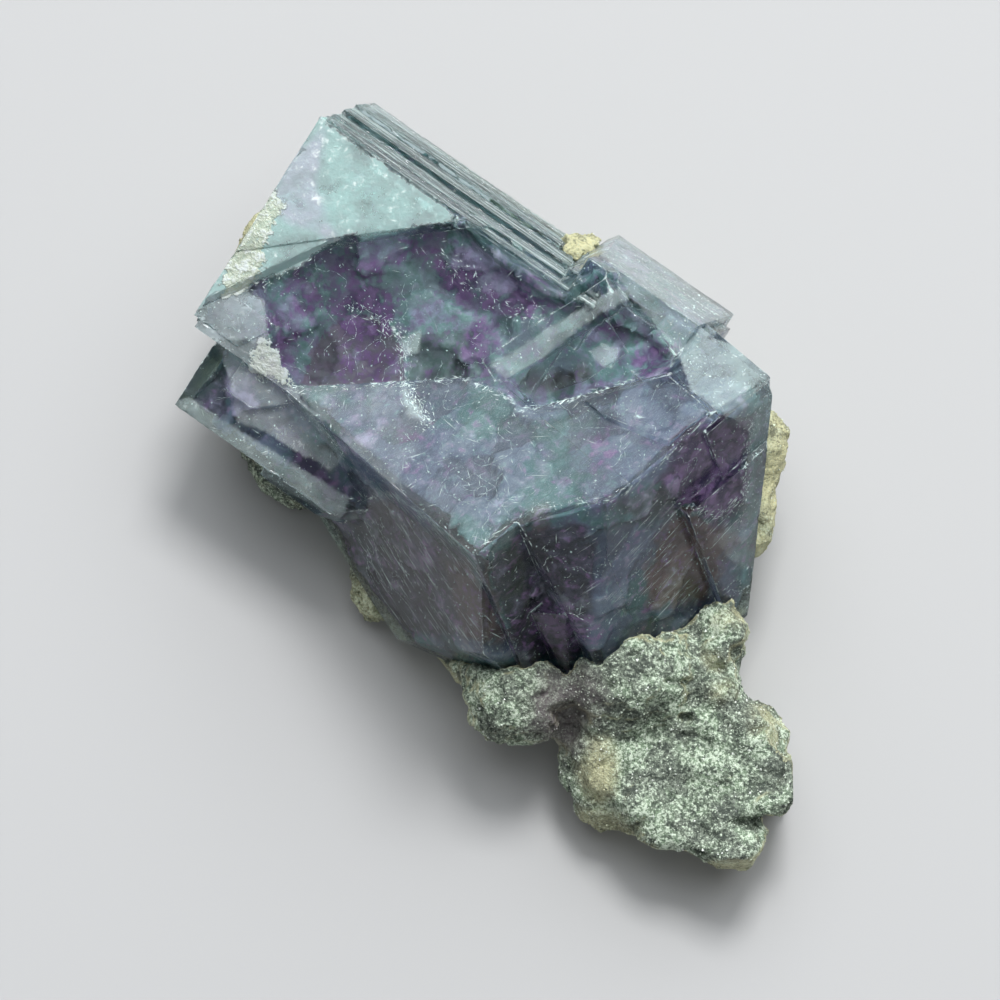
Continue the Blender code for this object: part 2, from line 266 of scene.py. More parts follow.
class Nodes:
    # the node tree of a material or a world with short ways to add to it
    def __init__(self, name, kind="materials", shader="Principled BSDF"):
        self.owner = getattr(bpy.data, kind).new(name)
        self.owner.use_nodes = True
        self.tree = self.owner.node_tree
        self.shader = self.tree.nodes[shader]
        self.places = self.add("ShaderNodeTexCoord").outputs

    def add(self, kind, inputs=None, **settings):
        node = self.tree.nodes.new(kind)
        for key, value in settings.items():
            setattr(node, key, value)
        for key, value in (inputs or {}).items():
            self.set(node.inputs[key], value)
        return node

    def set(self, socket, value):
        if isinstance(value, bpy.types.NodeSocket):
            self.tree.links.new(value, socket)
        else:
            socket.default_value = value

    def math(self, operation, *values, clamp=False):
        inputs = dict(enumerate(values))
        return self.add("ShaderNodeMath", inputs, operation=operation, use_clamp=clamp).outputs[0]

    def mapped(self, matrix=Matrix.Identity(4), scale=(1, 1, 1)):
        # Object coordinates in the lattice's millimetres, then stretched by the scale
        place, turn, size = (frontToWorld @ matrix).inverted().decompose()
        inside = self.add("ShaderNodeMapping", {
            "Vector": self.places["Object"], "Location": place, "Rotation": turn.to_euler(), "Scale": size,
        }).outputs[0]
        return self.add("ShaderNodeVectorMath", {0: inside, 1: scale}, operation="MULTIPLY").outputs[0]

    def noise(self, vector, scale, detail=3.0, roughness=0.5, distortion=0.0):
        return self.add("ShaderNodeTexNoise", {
            "Vector": vector, "Scale": scale, "Detail": detail, "Roughness": roughness,
            "Distortion": distortion,
        }).outputs["Fac"]

    def step(self, value, low, high, start=0.0, end=1.0):
        # from start where the value is low to end where it is high, smoothly
        return self.add("ShaderNodeMapRange", {
            "Value": value, "From Min": low, "From Max": high, "To Min": start, "To Max": end,
        }, interpolation_type="SMOOTHSTEP").outputs["Result"]

    def value(self, name):
        return self.add("ShaderNodeAttribute", attribute_name=name).outputs["Fac"]

    def blend(self, share, first, second):
        node = self.add("ShaderNodeMix", data_type="RGBA")
        self.set(node.inputs["Factor"], share)
        for socket, colour in ((node.inputs[6], first), (node.inputs[7], second)):
            self.set(socket, colour if isinstance(colour, bpy.types.NodeSocket) else (*colour, 1.0))
        return node.outputs[2]

    def layers(self, colour, *layers):
        # each tint over the ones before it, by its share
        for share, tint in layers:
            colour = self.blend(share, colour, tint)
        return colour

    def times(self, first, second, clamp=False):
        return self.math("MULTIPLY", first, second, clamp=clamp)

    def sway(self, value, rough, middle, reach):
        # value + (noise - middle) * reach
        return self.math("MULTIPLY_ADD", self.math("SUBTRACT", rough, middle), reach, value)

    def bump(self, height, depth, normal=None):
        node = self.add("ShaderNodeBump", {"Height": height, "Distance": depth})
        if normal:
            self.set(node.inputs["Normal"], normal)
        return node.outputs[0]

    def finish(self, colour, rough, normal=None):
        # the shader takes its colour, roughness and normal
        for name, value in (("Base Color", colour), ("Roughness", rough), ("Normal", normal)):
            if value is not None:
                self.set(self.shader.inputs[name], value)
        return self.owner


crystals = {
    "grain": 0.85,  # mm, longest triangle side on the crystals' outer faces
    "edgeGrain": 0.34,  # mm, the same along their edges
    "ridgeGrain": 0.36,  # mm, the same on the striated side
    "hiddenGrain": 3.0,  # mm, the same where rock covers them
    "edgeWear": 0.05,  # mm, how far every edge is rounded back
    "edgeChips": 0.30,  # mm, depth of the largest chips
    "relief": 0.035,  # mm, low swells of the faces
    "ridgeHeight": 0.24,  # mm, of the lamellae on the striated side
    "ridgeWidth": 0.55,  # mm, across the lamellae
    "sideBox": ((-1.6, 28.2), (-1.4, 0.1), (0.3, 20.2)),  # mm in the upper lattice, that side's place
    "buried": -9.0,  # mm in the front frame, the height below which rock covers them
    "crease": 24.0,  # degrees, from which an edge is drawn sharp
    "sideFrost": 0.15,  # frost of the faces turned away from the front
    "ior": 1.434,
    "haze": 0.10,  # roughness of a clean face
    "clear": (0.88, 0.965, 0.96),
    "white": (0.90, 0.97, 0.95),
    "frostTeal": (0.53, 0.75, 0.72),
    "frostLilac": (0.63, 0.66, 0.75),
    "frostCream": (0.74, 0.80, 0.60),
    "striation": (0.33, 0.60, 0.50),
    "absorption": (0.45, 0.67, 0.74),
    "density": 60.0,  # per metre
    "streaks": (0.10, 1.0, 5.2),  # per mm, of the noise that streaks the striated side
    "frostHide": 1.6,  # how much more than its share of light the frost's tint shows
    "frostHaze": 0.45,  # roughness that full frost adds
}

# Outlines that two kinds share: the lilac face at the left and the one below it.
leftFace = ((-26.2, 13.9), (-23.5, 16.2), (-20.8, 16.8), (-19.2, 16.0), (-18.7, 12.4), (-23.3, 12.6))
lowerFace = ((-23.3, 12.6), (-19.2, 12.6), (-16.6, 8.5), (-12.2, 2.8), (-13.4, 1.5), (-19.2, 4.9),
             (-21.6, 5.6), (-22.1, 9.2))

# What the crystals show from the front, as outlines in the front frame with a strength each. The
# frost, lilac and cream ones are the skin's: frosted faces and their tints. The others are the heart's.
outlines = {
    "frost": (
        (0.60, ((-26.2, 13.9), (-23.5, 16.2), (-20.8, 16.8), (-19.6, 17.7), (-16.4, 18.7),
                (-14.1, 20.5), (-11.3, 21.8), (-10.8, 21.1), (-7.5, 21.9), (-2.2, 22.7),
                (-13.8, 30.9), (-13.4, 33.8), (-24.5, 26.2), (-28.7, 16.0))),
        (0.38, leftFace),
        (0.13, ((-16.5, 8.6), (-7.2, 8.9), (-7.1, 7.3), (-4.9, 5.4), (-7.9, -0.2), (-11.3, 2.8))),
        (0.06, ((-7.1, 7.3), (-7.2, 8.9), (-2.4, 9.4), (1.4, 7.9), (2.7, 6.5), (6.1, 7.2), (12.9, 9.3),
                (12.7, 5.4), (13.8, 2.0), (9.5, -1.0), (5.7, -1.4), (3.6, -2.7), (-0.7, -6.6),
                (-7.9, -0.2), (-4.9, 5.4))),
        (0.03, ((12.9, 9.3), (17.3, 8.1), (19.0, 6.6), (13.8, 2.0), (12.7, 5.4))),
        (0.32, ((16.1, 11.1), (18.4, 12.8), (20.6, 12.3), (24.4, 9.8), (21.0, 7.5), (19.2, 6.6),
                (17.3, 7.9))),
        (0.12, ((24.4, 9.8), (24.8, -6.1), (21.8, -7.0), (19.0, -4.4), (21.4, -2.6), (22.1, 4.9),
                (19.2, 6.6), (21.0, 7.5))),
        (0.25, ((11.0, 22.4), (21.4, 14.5), (18.4, 12.6), (16.1, 11.1), (13.8, 14.3), (11.9, 16.6),
                (9.1, 20.7))),
        (0.26, ((11.4, 17.0), (8.8, 15.7), (6.1, 14.0), (0.2, 10.4), (1.5, 9.2), (4.4, 10.7),
                (7.4, 13.3), (11.9, 16.0))),
        (0.35, ((-7.5, 12.6), (-5.8, 13.4), (-5.8, 11.7), (-7.1, 11.1))),
        (0.40, ((-7.9, 8.5), (-7.1, 8.8), (-5.3, 6.6), (-4.6, 5.4), (-6.8, 5.8), (-7.8, 7.1))),
        (0.55, ((10.3, 7.3), (11.9, 7.7), (12.6, 6.8), (12.9, 5.4), (11.6, 6.0))),
        (0.38, ((8.5, 11.6), (9.9, 12.2), (11.1, 11.6), (10.5, 10.2), (9.5, 10.5))),
        (0.22, ((-27.0, 7.5), (-25.7, 7.8), (-19.2, 3.6), (-11.8, -0.9), (-12.9, -2.9), (-27.9, 6.5))),
        (0.24, lowerFace),
    ),
    "lilac": (
        (0.9, ((-19.2, 24.1), (-16.3, 28.7), (-14.1, 30.3), (-14.5, 25.3), (-14.0, 23.5),
               (-12.8, 21.1), (-16.2, 22.4))),
        (0.7, leftFace),
        (0.6, ((-16.5, 8.6), (-7.2, 8.9), (-7.1, 7.3), (-4.9, 5.4), (0.0, 2.0), (-2.0, -3.0), (-7.9, -0.2),
               (-11.3, 2.8))),
        (0.15, ((11.0, 22.4), (21.4, 14.5), (20.0, 15.0), (11.6, 21.0), (9.1, 20.7))),
        (0.8, lowerFace),
    ),
    "cream": (
        (0.8, ((-20.2, 11.6), (-19.2, 12.8), (-18.0, 11.6), (-16.5, 8.5), (-19.0, 9.4), (-20.6, 9.9))),
        (1.0, ((-18.2, 25.3), (-19.8, 24.1), (-22.4, 19.2), (-22.8, 16.3), (-20.8, 16.8), (-19.2, 18.5),
               (-18.9, 21.2), (-17.3, 24.0))),
    ),
    "hollow": (
        (1.0, ((-20.8, 16.8), (-19.6, 17.7), (-16.4, 18.7), (-14.1, 20.5), (-11.3, 21.8), (-10.8, 21.1),
               (-7.5, 21.9), (-2.2, 22.7), (-0.7, 20.7), (2.7, 17.7), (6.5, 15.6), (11.2, 16.8),
               (13.8, 14.3), (16.1, 11.1), (12.9, 9.3), (6.1, 7.2), (2.7, 6.5), (1.4, 7.9),
               (-2.4, 9.4), (-7.2, 8.9), (-16.5, 8.6), (-18.9, 12.4))),
    ),
    "window": (
        (1.0, ((-15.0, 13.7), (-13.8, 14.4), (-12.9, 13.4), (-13.1, 11.9), (-13.8, 11.0), (-14.8, 12.2))),
        (0.8, ((-10.3, 18.5), (-4.7, 20.0), (-4.1, 16.1), (-7.7, 14.9), (-9.8, 16.7))),
        (0.7, ((2.7, 9.9), (7.4, 13.0), (8.4, 11.8), (9.2, 9.6), (5.4, 7.9))),
        (0.7, ((0.4, 14.4), (4.6, 15.3), (7.8, 14.8), (1.4, 10.7))),
    ),
    "mauve": (
        (0.9, ((-12.9, 14.3), (-10.1, 14.9), (-8.3, 13.4), (-7.3, 11.3), (-7.1, 9.0), (-16.2, 8.7),
               (-15.3, 11.9))),
        (0.6, ((-22.6, 8.0), (-20.0, 8.8), (-17.4, 6.4), (-14.6, 3.4), (-19.6, 5.6))),
    ),
    "slate": (
        (0.9, ((-6.6, 13.1), (-0.6, 13.4), (-0.4, 9.3), (-7.0, 8.9))),
        (0.8, ((10.2, 3.0), (12.6, 3.4), (13.6, 1.8), (11.0, -0.4), (8.4, 0.4))),
    ),
    "violet": (
        (1.0, ((-18.0, 4.9), (-16.0, 4.2), (-11.9, -1.0), (-13.0, -1.7), (-16.3, 1.5))),
        (1.0, ((14.2, 0.7), (16.7, 4.9), (22.1, 5.8), (21.8, -1.0), (19.3, -3.1), (16.5, -1.7))),
        (0.8, ((-6.2, -4.6), (-4.2, -4.8), (-4.0, -6.6), (-5.8, -6.2))),
    ),
    # painted shade: the lower faces, turned down away from the lamp, are darkened nearly to black
    "paintedShade": (
        (0.9, ((-14.3, -2.4), (-12.2, -1.9), (-7.9, -0.6), (-1.4, -5.4), (-0.7, -6.6), (1.3, -12.9),
               (-9.6, -12.1))),
        (1.0, ((-0.7, -6.6), (3.6, -2.9), (7.7, -2.9), (9.2, -5.0), (8.2, -14.2), (2.3, -15.0))),
        (0.8, ((14.2, 0.7), (16.7, 4.9), (22.1, 5.8), (21.8, -1.0), (19.3, -3.1), (16.5, -1.7),
               (12.9, -2.7), (9.5, -1.4))),
        (0.7, ((-26.6, 7.0), (-23.6, 10.6), (-22.4, 9.4), (-22.2, 6.0), (-24.5, 6.0))),
    ),
    "warm": (
        (1.0, ((13.3, -6.7), (14.6, -3.6), (16.5, -1.7), (20.9, -4.0), (18.4, -9.5), (13.3, -9.9))),
        (0.7, ((-3.6, -6.1), (-1.2, -5.8), (1.4, -12.9), (-1.5, -12.9))),
        (0.6, ((2.6, 9.0), (4.2, 9.4), (8.0, 10.2), (8.8, 9.2), (4.0, 7.6))),
        (0.5, ((3.2, -1.8), (5.2, -1.4), (5.4, -3.2), (4.0, -3.6))),
    ),
}


def awayFrom(spots, start, end):
    # distance to the straight piece between two points
    way = end - start
    along = np.clip((spots - start) @ way / (way @ way), 0, 1)
    return np.linalg.norm(spots - start - along[:, None] * way, axis=1)


def outlineDepth(points, kinds):
    # distance to the nearest side of each outline, negative outside it: the largest of them, with
    # the strength of the outline that gives it. A place is inside where a level line from it crosses
    # an odd number of sides
    spots = inFront(points)[:, :2]
    best = np.full(len(spots), -np.inf)
    level = np.zeros(len(spots))
    for strength, corners in kinds:
        corners = np.array(corners)
        inside = np.zeros(len(spots), bool)
        nearest = np.full(len(spots), np.inf)
        for start, end in zip(corners, np.roll(corners, -1, axis=0)):
            way = end - start
            nearest = np.minimum(nearest, awayFrom(spots, start, end))
            spans = (start[1] > spots[:, 1]) != (end[1] > spots[:, 1])
            rise = np.where(spans, (spots[:, 1] - start[1]) / (way[1] if way[1] else 1.0), 0)
            inside ^= spans & (spots[:, 0] < start[0] + rise * way[0])
        depth = np.where(inside, nearest, -nearest)
        level = np.where(depth > best, strength, level)
        best = np.maximum(best, depth)
    return best, level


def outlineValues(points, names):
    # the depth and strength of each kind of outline, by its name, for a piece's points
    values = {}
    for name in names:
        values[name], values[name + "Level"] = outlineDepth(points, outlines[name])
    return values


def cells(points, size, seed):
    # the nearest of the points set at random in each cube of a grid: its place, and a number of its own
    base = np.floor(points / size).astype(np.int64)
    best = np.full(len(points), np.inf)
    centre = np.zeros_like(points)
    number = np.zeros(len(points))
    for corner in itertools.product((-1, 0, 1), repeat=3):
        spot = base + corner
        seat = (spot + 0.5 + 0.42 * noiseWay(spot + 0.001, 1.0, seed)) * size
        away = np.linalg.norm(points - seat, axis=1)
        nearer = away < best
        best[nearer] = away[nearer]
        centre[nearer] = seat[nearer]
        number[nearer] = noise(spot[nearer] + 0.001, 1.0, seed + 3)
    return centre, number


def broken(points, size, bend, bendSize, seeds):
    # random cells whose borders are bent by noise: each point's cell number, and its cell's random
    # slope times the way from the cell's centre
    centre, number = cells(points + bend * noiseWay(points, bendSize, seeds[0]), size, seeds[1])
    return number, np.sum(noiseWay(centre, 0.37, seeds[2]) * (points - centre), axis=1)


def zoneStrength(points, kinds, seed):
    # for each zone 1 - distance over its half-widths, made ragged by noise, and the largest of them
    ragged = 0.45 * layered(points, 3.2, seed, 4)
    best = np.zeros(len(points))
    for centre, half, strength in kinds:
        away = np.linalg.norm((points - centre) / half, axis=1)
        best = np.maximum(best, strength * ramp(1.25 - away + ragged, 0.0, 0.75))
    return best


def striatedSide(places):
    # inside the lattice box of the stepped side: by the upper crystal's second face
    low, high = np.array(crystals["sideBox"]).T
    return ((places > low) & (places < high)).all(axis=1)


def lamellae(places):
    # saw-tooth strips across the third axis, of uneven width, whose steps wander along the first
    a, _, c = places.T
    wander = 0.35 * noise(places * (0.12, 0.0, 1.0), 1.0, 31)
    wander += 0.12 * noise(places * (0.6, 0.0, 1.0), 1.0, 32)
    across = c / crystals["ridgeWidth"] + 1.6 * noise(places * (0.03, 0.0, 0.45), 1.0, 33) + wander
    strip = np.floor(across)
    level = noise(np.stack([strip * 7.31, a * 0.09, strip * 0], axis=1), 1.0, 34)
    return 0.55 * level + 0.45 * (across - strip - 0.5)


def makeCrystals(material):
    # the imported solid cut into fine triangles, with worn edges, low swells and a striated side
    points, faces = packedSolid("fluorite_crystals")
    unit = unitRows(faceNormals(points, faces))

    def limitOf(middle, sharp):
        # the longest side that may stay, by what lies at its middle
        buried = inFront(middle)[:, 2] < crystals["buried"]
        onSide = striatedSide(inLattice(middle, "upper"))
        size = np.where(sharp, crystals["edgeGrain"], crystals["grain"])
        size = np.where(onSide, crystals["ridgeGrain"], size)
        return np.where(buried & ~onSide, crystals["hiddenGrain"], size) * mm

    points, faces, tags = splitLong(points, faces, np.arange(len(faces)), unit, limitOf)
    outward, agree = pointNormals(points, faces, unit[tags] * np.linalg.norm(
        faceNormals(points, faces), axis=1)[:, None])
    edge = 1 - ramp(agree, 0.90, 0.998)
    near = edge.copy()
    sides = np.concatenate([faces[:, [0, 1]], faces[:, [1, 2]], faces[:, [2, 0]]])
    for _ in range(4):
        spread = near.copy()
        np.maximum.at(spread, sides[:, 0], near[sides[:, 1]] * 0.62)
        np.maximum.at(spread, sides[:, 1], near[sides[:, 0]] * 0.62)
        near = spread
    place = inFront(points)
    grid = inLattice(points, "upper")
    chips = ramp(layered(place, 1.3, 5), 0.18, 0.75)
    depth = -edge * crystals["edgeWear"] * (1 + 0.6 * noise(place, 0.5, 6))
    depth -= near * chips * crystals["edgeChips"]
    depth += crystals["relief"] * (1 - edge) * layered(place, 4.0, 7, 3)
    side = striatedSide(grid) & (outward @ np.array(frontToWorld @ latticeMatrix("upper"))[:3, 1] < 0)
    depth += side * (1 - 0.5 * edge) * crystals["ridgeHeight"] * lamellae(grid)
    points = np.clip(points + outward * depth[:, None] * mm, *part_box("fluorite_crystals"))
    values = outlineValues(points, ("frost", "lilac", "cream"))
    turned = 1 - ramp(outward @ frontWay, 0.0, 0.15)
    for name, level in (("frost", crystals["sideFrost"]), ("lilac", 0.3), ("cream", 0.0)):
        values[name] = np.where(turned > 0.5, 3.0 * (level > 0), values[name])
        values[name + "Level"] = values[name + "Level"] * (1 - turned) + level * turned
    values["wear"] = np.clip(edge * (0.8 + 0.4 * noise(place, 1.6, 8)), 0, 1)
    values["chips"] = np.clip(near * chips, 0, 1)
    values["striated"] = side.astype(float)
    piece = addPiece("fluorite_crystals_look", points, faces, material, values)
    piece.data.set_sharp_from_angle(angle=math.radians(crystals["crease"]))
    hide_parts("fluorite_crystals")
    return points, faces


def outlined(nodes, name, rough, ragged, soft):
    # 1 inside the outlines of that name, their edge made ragged (mm) by the noise, times their strength
    depth = nodes.sway(nodes.value(name), rough, 0.5, ragged)
    return nodes.times(nodes.step(depth, -soft, soft), nodes.value(name + "Level"))


def crystalMaterial():
    # a clear crystal: frosted faces, worn edges, chips, streaks and crust scatter light instead
    nodes = Nodes("fluorite glass")
    place = nodes.mapped()
    fine = nodes.noise(place, 2.6, 2.0, 0.7)
    cloud = nodes.noise(place, 0.45, 4.0, 0.62)
    speckle = nodes.noise(place, 1.5, 3.0, 0.7, 0.6)
    crust = nodes.noise(place, 1.3, 4.0, 0.7)
    strips = nodes.noise(nodes.mapped(latticeMatrix("upper"), crystals["streaks"]), 1.0, 3.0, 0.65)
    striated = nodes.value("striated")

    torn = nodes.math("MULTIPLY_ADD", fine, 0.5, nodes.times(cloud, 0.5))
    wisps = nodes.times(nodes.step(speckle, 0.53, 0.68), nodes.step(cloud, 0.42, 0.60))
    frost = outlined(nodes, "frost", torn, 1.3, 0.22)
    frost = nodes.times(frost, nodes.step(cloud, 0.25, 0.75, 0.60, 1.35))
    frost = nodes.times(frost, nodes.math("MULTIPLY_ADD", wisps, 0.45, 0.92))
    lines = nodes.times(nodes.step(strips, 0.44, 0.66), nodes.times(striated, 0.48))
    edges = nodes.times(nodes.step(nodes.value("wear"), 0.55, 1.0), nodes.step(fine, 0.3, 0.7, 0.15, 0.75))
    chips = nodes.times(nodes.step(nodes.value("chips"), 0.25, 0.75), 0.55)
    cream = nodes.times(outlined(nodes, "cream", crust, 2.6, 0.12), nodes.step(crust, 0.25, 0.6, 0.4, 0.75))
    scatter = frost
    for share in (edges, chips, lines):
        scatter = nodes.math("MAXIMUM", scatter, share)
    scatter = nodes.math("MAXIMUM", scatter, cream, clamp=True)

    white = crystals["white"]
    tint = nodes.layers(
        crystals["frostTeal"],
        (outlined(nodes, "lilac", cloud, 2.0, 0.6), crystals["frostLilac"]),
        (nodes.times(wisps, 0.8), white),
        (nodes.times(cream, 1.4, clamp=True),
         nodes.blend(nodes.step(crust, 0.42, 0.66), crystals["frostCream"], white)),
        (lines, nodes.blend(nodes.step(strips, 0.58, 0.68), crystals["striation"], white)),
        (edges, white),
    )
    share = nodes.times(scatter, crystals["frostHide"], clamp=True)
    rough = nodes.math("MULTIPLY_ADD", scatter, crystals["frostHaze"], crystals["haze"])
    height = nodes.math("ADD", nodes.times(nodes.times(strips, striated), 5.0), nodes.times(fine, 0.35))
    height = nodes.math("ADD", height, nodes.times(nodes.times(cream, crust), 2.5))
    nodes.set(nodes.shader.inputs["Transmission Weight"], nodes.math("SUBTRACT", 1.0, scatter, clamp=True))
    nodes.set(nodes.shader.inputs["IOR"], crystals["ior"])
    volume = nodes.add("ShaderNodeVolumeAbsorption", {
        "Color": (*crystals["absorption"], 1.0), "Density": crystals["density"],
    })
    nodes.set(nodes.tree.nodes["Material Output"].inputs["Volume"], volume.outputs[0])
    return nodes.finish(nodes.blend(share, crystals["clear"], tint), rough, nodes.bump(height, 0.10 * mm))


clouds = {
    "inset": 0.80,  # mm, how far the cloudy heart lies under the faces
    "hollowInset": 1.1,  # mm more in the purple hollow
    "voxel": 0.45,  # mm
    "billow": 0.40,  # mm, how far its surface rises and sinks
    "flaw": 3.6,  # mm, across the flat flaws that it breaks into
    "flawDepth": 0.55,  # mm, between them
    "flawTilt": 0.20,  # their slope
    "flawBend": 0.80,  # mm, how far noise bends their borders
    "roughness": 0.45,
    "deepTeal": (0.085, 0.185, 0.195),
    "deepMist": (0.135, 0.160, 0.250),
    "teal": (0.215, 0.380, 0.350),
    "mist": (0.410, 0.440, 0.570),
    "pale": (0.560, 0.800, 0.770),
    "lilac": (0.320, 0.265, 0.400),
    "violet": (0.060, 0.018, 0.105),
    "plum": (0.250, 0.120, 0.300),
    "lavender": (0.580, 0.480, 0.700),
    "window": (0.245, 0.345, 0.345),
    "mauve": (0.245, 0.165, 0.215),
    "slate": (0.135, 0.185, 0.170),
    # painted shade of the lower faces, from near black to a dark purple murk
    "paintedShade": (0.022, 0.020, 0.034),
    "paintedShadeMurk": (0.085, 0.072, 0.120),
    "warm": (0.175, 0.098, 0.090),
    "line": (0.035, 0.095, 0.090),
    "white": (0.80, 0.92, 0.90),
}

# Deep violet spots in the heart: centre in the front frame, half-widths and strength.
violetSpots = (
    ((-18.2, 12.4, 0.0), (2.2, 4.2, 14.0), 0.8),
    ((-10.6, 14.8, 0.0), (3.0, 2.8, 14.0), 1.0),
    ((-15.0, 16.4, 0.0), (3.0, 2.4, 14.0), 0.7),
    ((-11.8, 18.8, 0.0), (2.6, 1.8, 14.0), 0.8),
    ((-6.4, 20.0, 0.0), (3.0, 1.6, 14.0), 0.6),
    ((-2.8, 18.2, 0.0), (2.8, 2.2, 14.0), 1.0),
    ((2.4, 16.6, 0.0), (4.0, 2.2, 14.0), 0.9),
    ((-0.8, 11.6, 0.0), (1.4, 2.8, 14.0), 0.9),
    ((-10.0, 10.4, 0.0), (3.4, 1.6, 14.0), 0.6),
    ((11.0, 13.6, -3.0), (2.4, 1.4, 14.0), 0.8),
    ((14.0, 11.0, -3.0), (2.2, 2.6, 14.0), 1.0),
    ((5.6, -12.0, 2.0), (3.6, 2.4, 14.0), 0.7),
    ((9.6, 2.8, 4.0), (1.5, 2.6, 14.0), 0.6),
    ((-7.0, 4.6, 4.0), (1.3, 1.3, 14.0), 0.6),
)

# Paler lavender spots in the same form.
lavenderSpots = (
    ((-1.0, 19.4, 0.0), (2.4, 1.2, 14.0), 0.9),
    ((1.0, 17.4, 0.0), (2.6, 1.2, 14.0), 0.8),
    ((-9.6, 20.2, 0.0), (2.0, 1.0, 14.0), 0.5),
    ((4.6, 18.2, 0.0), (3.4, 0.9, 14.0), 0.7),
    ((-17.2, 14.6, 0.0), (1.6, 1.6, 14.0), 0.5),
    ((-21.0, 8.0, 0.0), (2.0, 3.0, 14.0), 0.8),
    ((11.6, 18.4, -5.0), (2.0, 2.4, 14.0), 0.6),
    ((-11.0, 4.8, 4.0), (2.4, 2.0, 14.0), 0.6),
)


def remeshed(name, points, faces, voxel, offset):
    # the closed shape grown by the offset along its normals, as an even mesh of the voxel's size
    mesh = bpy.data.meshes.new(name)
    mesh.from_pydata(points.tolist(), [], faces.tolist())
    source = placed(name, mesh)
    for step in ("first", "last"):
        remesh = source.modifiers.new(step, "REMESH")
        remesh.mode = "VOXEL"
        remesh.voxel_size = voxel * mm
        if step == "first":
            grow = source.modifiers.new("grow", "DISPLACE")
            grow.strength = offset * mm
            grow.mid_level = 0
    smooth = source.modifiers.new("smooth", "SMOOTH")
    smooth.iterations = 2
    graph = bpy.context.evaluated_depsgraph_get()
    fine = bpy.data.meshes.new_from_object(source.evaluated_get(graph))
    bpy.data.objects.remove(source)
    return meshArrays(fine)


def makeHeart(material):
    # the crystals' cloudy inside: their shape set in, billowing by noise and broken into flat flaws.
    # A flaw's depth is its own number plus its slope times the way from its centre
    points, faces = packedSolid("fluorite_crystals")
    points, faces = remeshed("heart", points, faces, clouds["voxel"], -clouds["inset"])
    outward, _ = pointNormals(points, faces)
    place = inFront(points)
    number, slope = broken(place, clouds["flaw"], clouds["flawBend"], 4.0, (66, 70, 75))
    depth = clouds["billow"] * layered(place, 3.4, 61, 3)
    depth += clouds["flawDepth"] * (number - 0.6) + clouds["flawTilt"] * slope
    values = outlineValues(points, (
        "hollow", "window", "mauve", "slate", "violet", "paintedShade", "warm", "frost",
    ))
    depth -= clouds["hollowInset"] * ramp(values["hollow"], -0.3, 1.2)
    points = points + outward * depth[:, None] * mm
    values["spots"] = zoneStrength(place, violetSpots, 11)
    values["lavender"] = zoneStrength(place, lavenderSpots, 12)
    a, b, c = inLattice(points, "upper").T
    along, _, across = crystals["sideBox"]
    values["side"] = ramp(-b, -2.4, -1.4) * (b > -1.0) * (a > along[0]) * (a < along[1])
    values["side"] *= (c > 0.6) * (c < across[1])
    values["base"] = ramp(layered(place, 6.0, 14, 3), -0.30, 0.30)
    values["flawTone"] = 0.5 + 0.5 * number
    addPiece("fluorite_heart", points, faces, material, values)


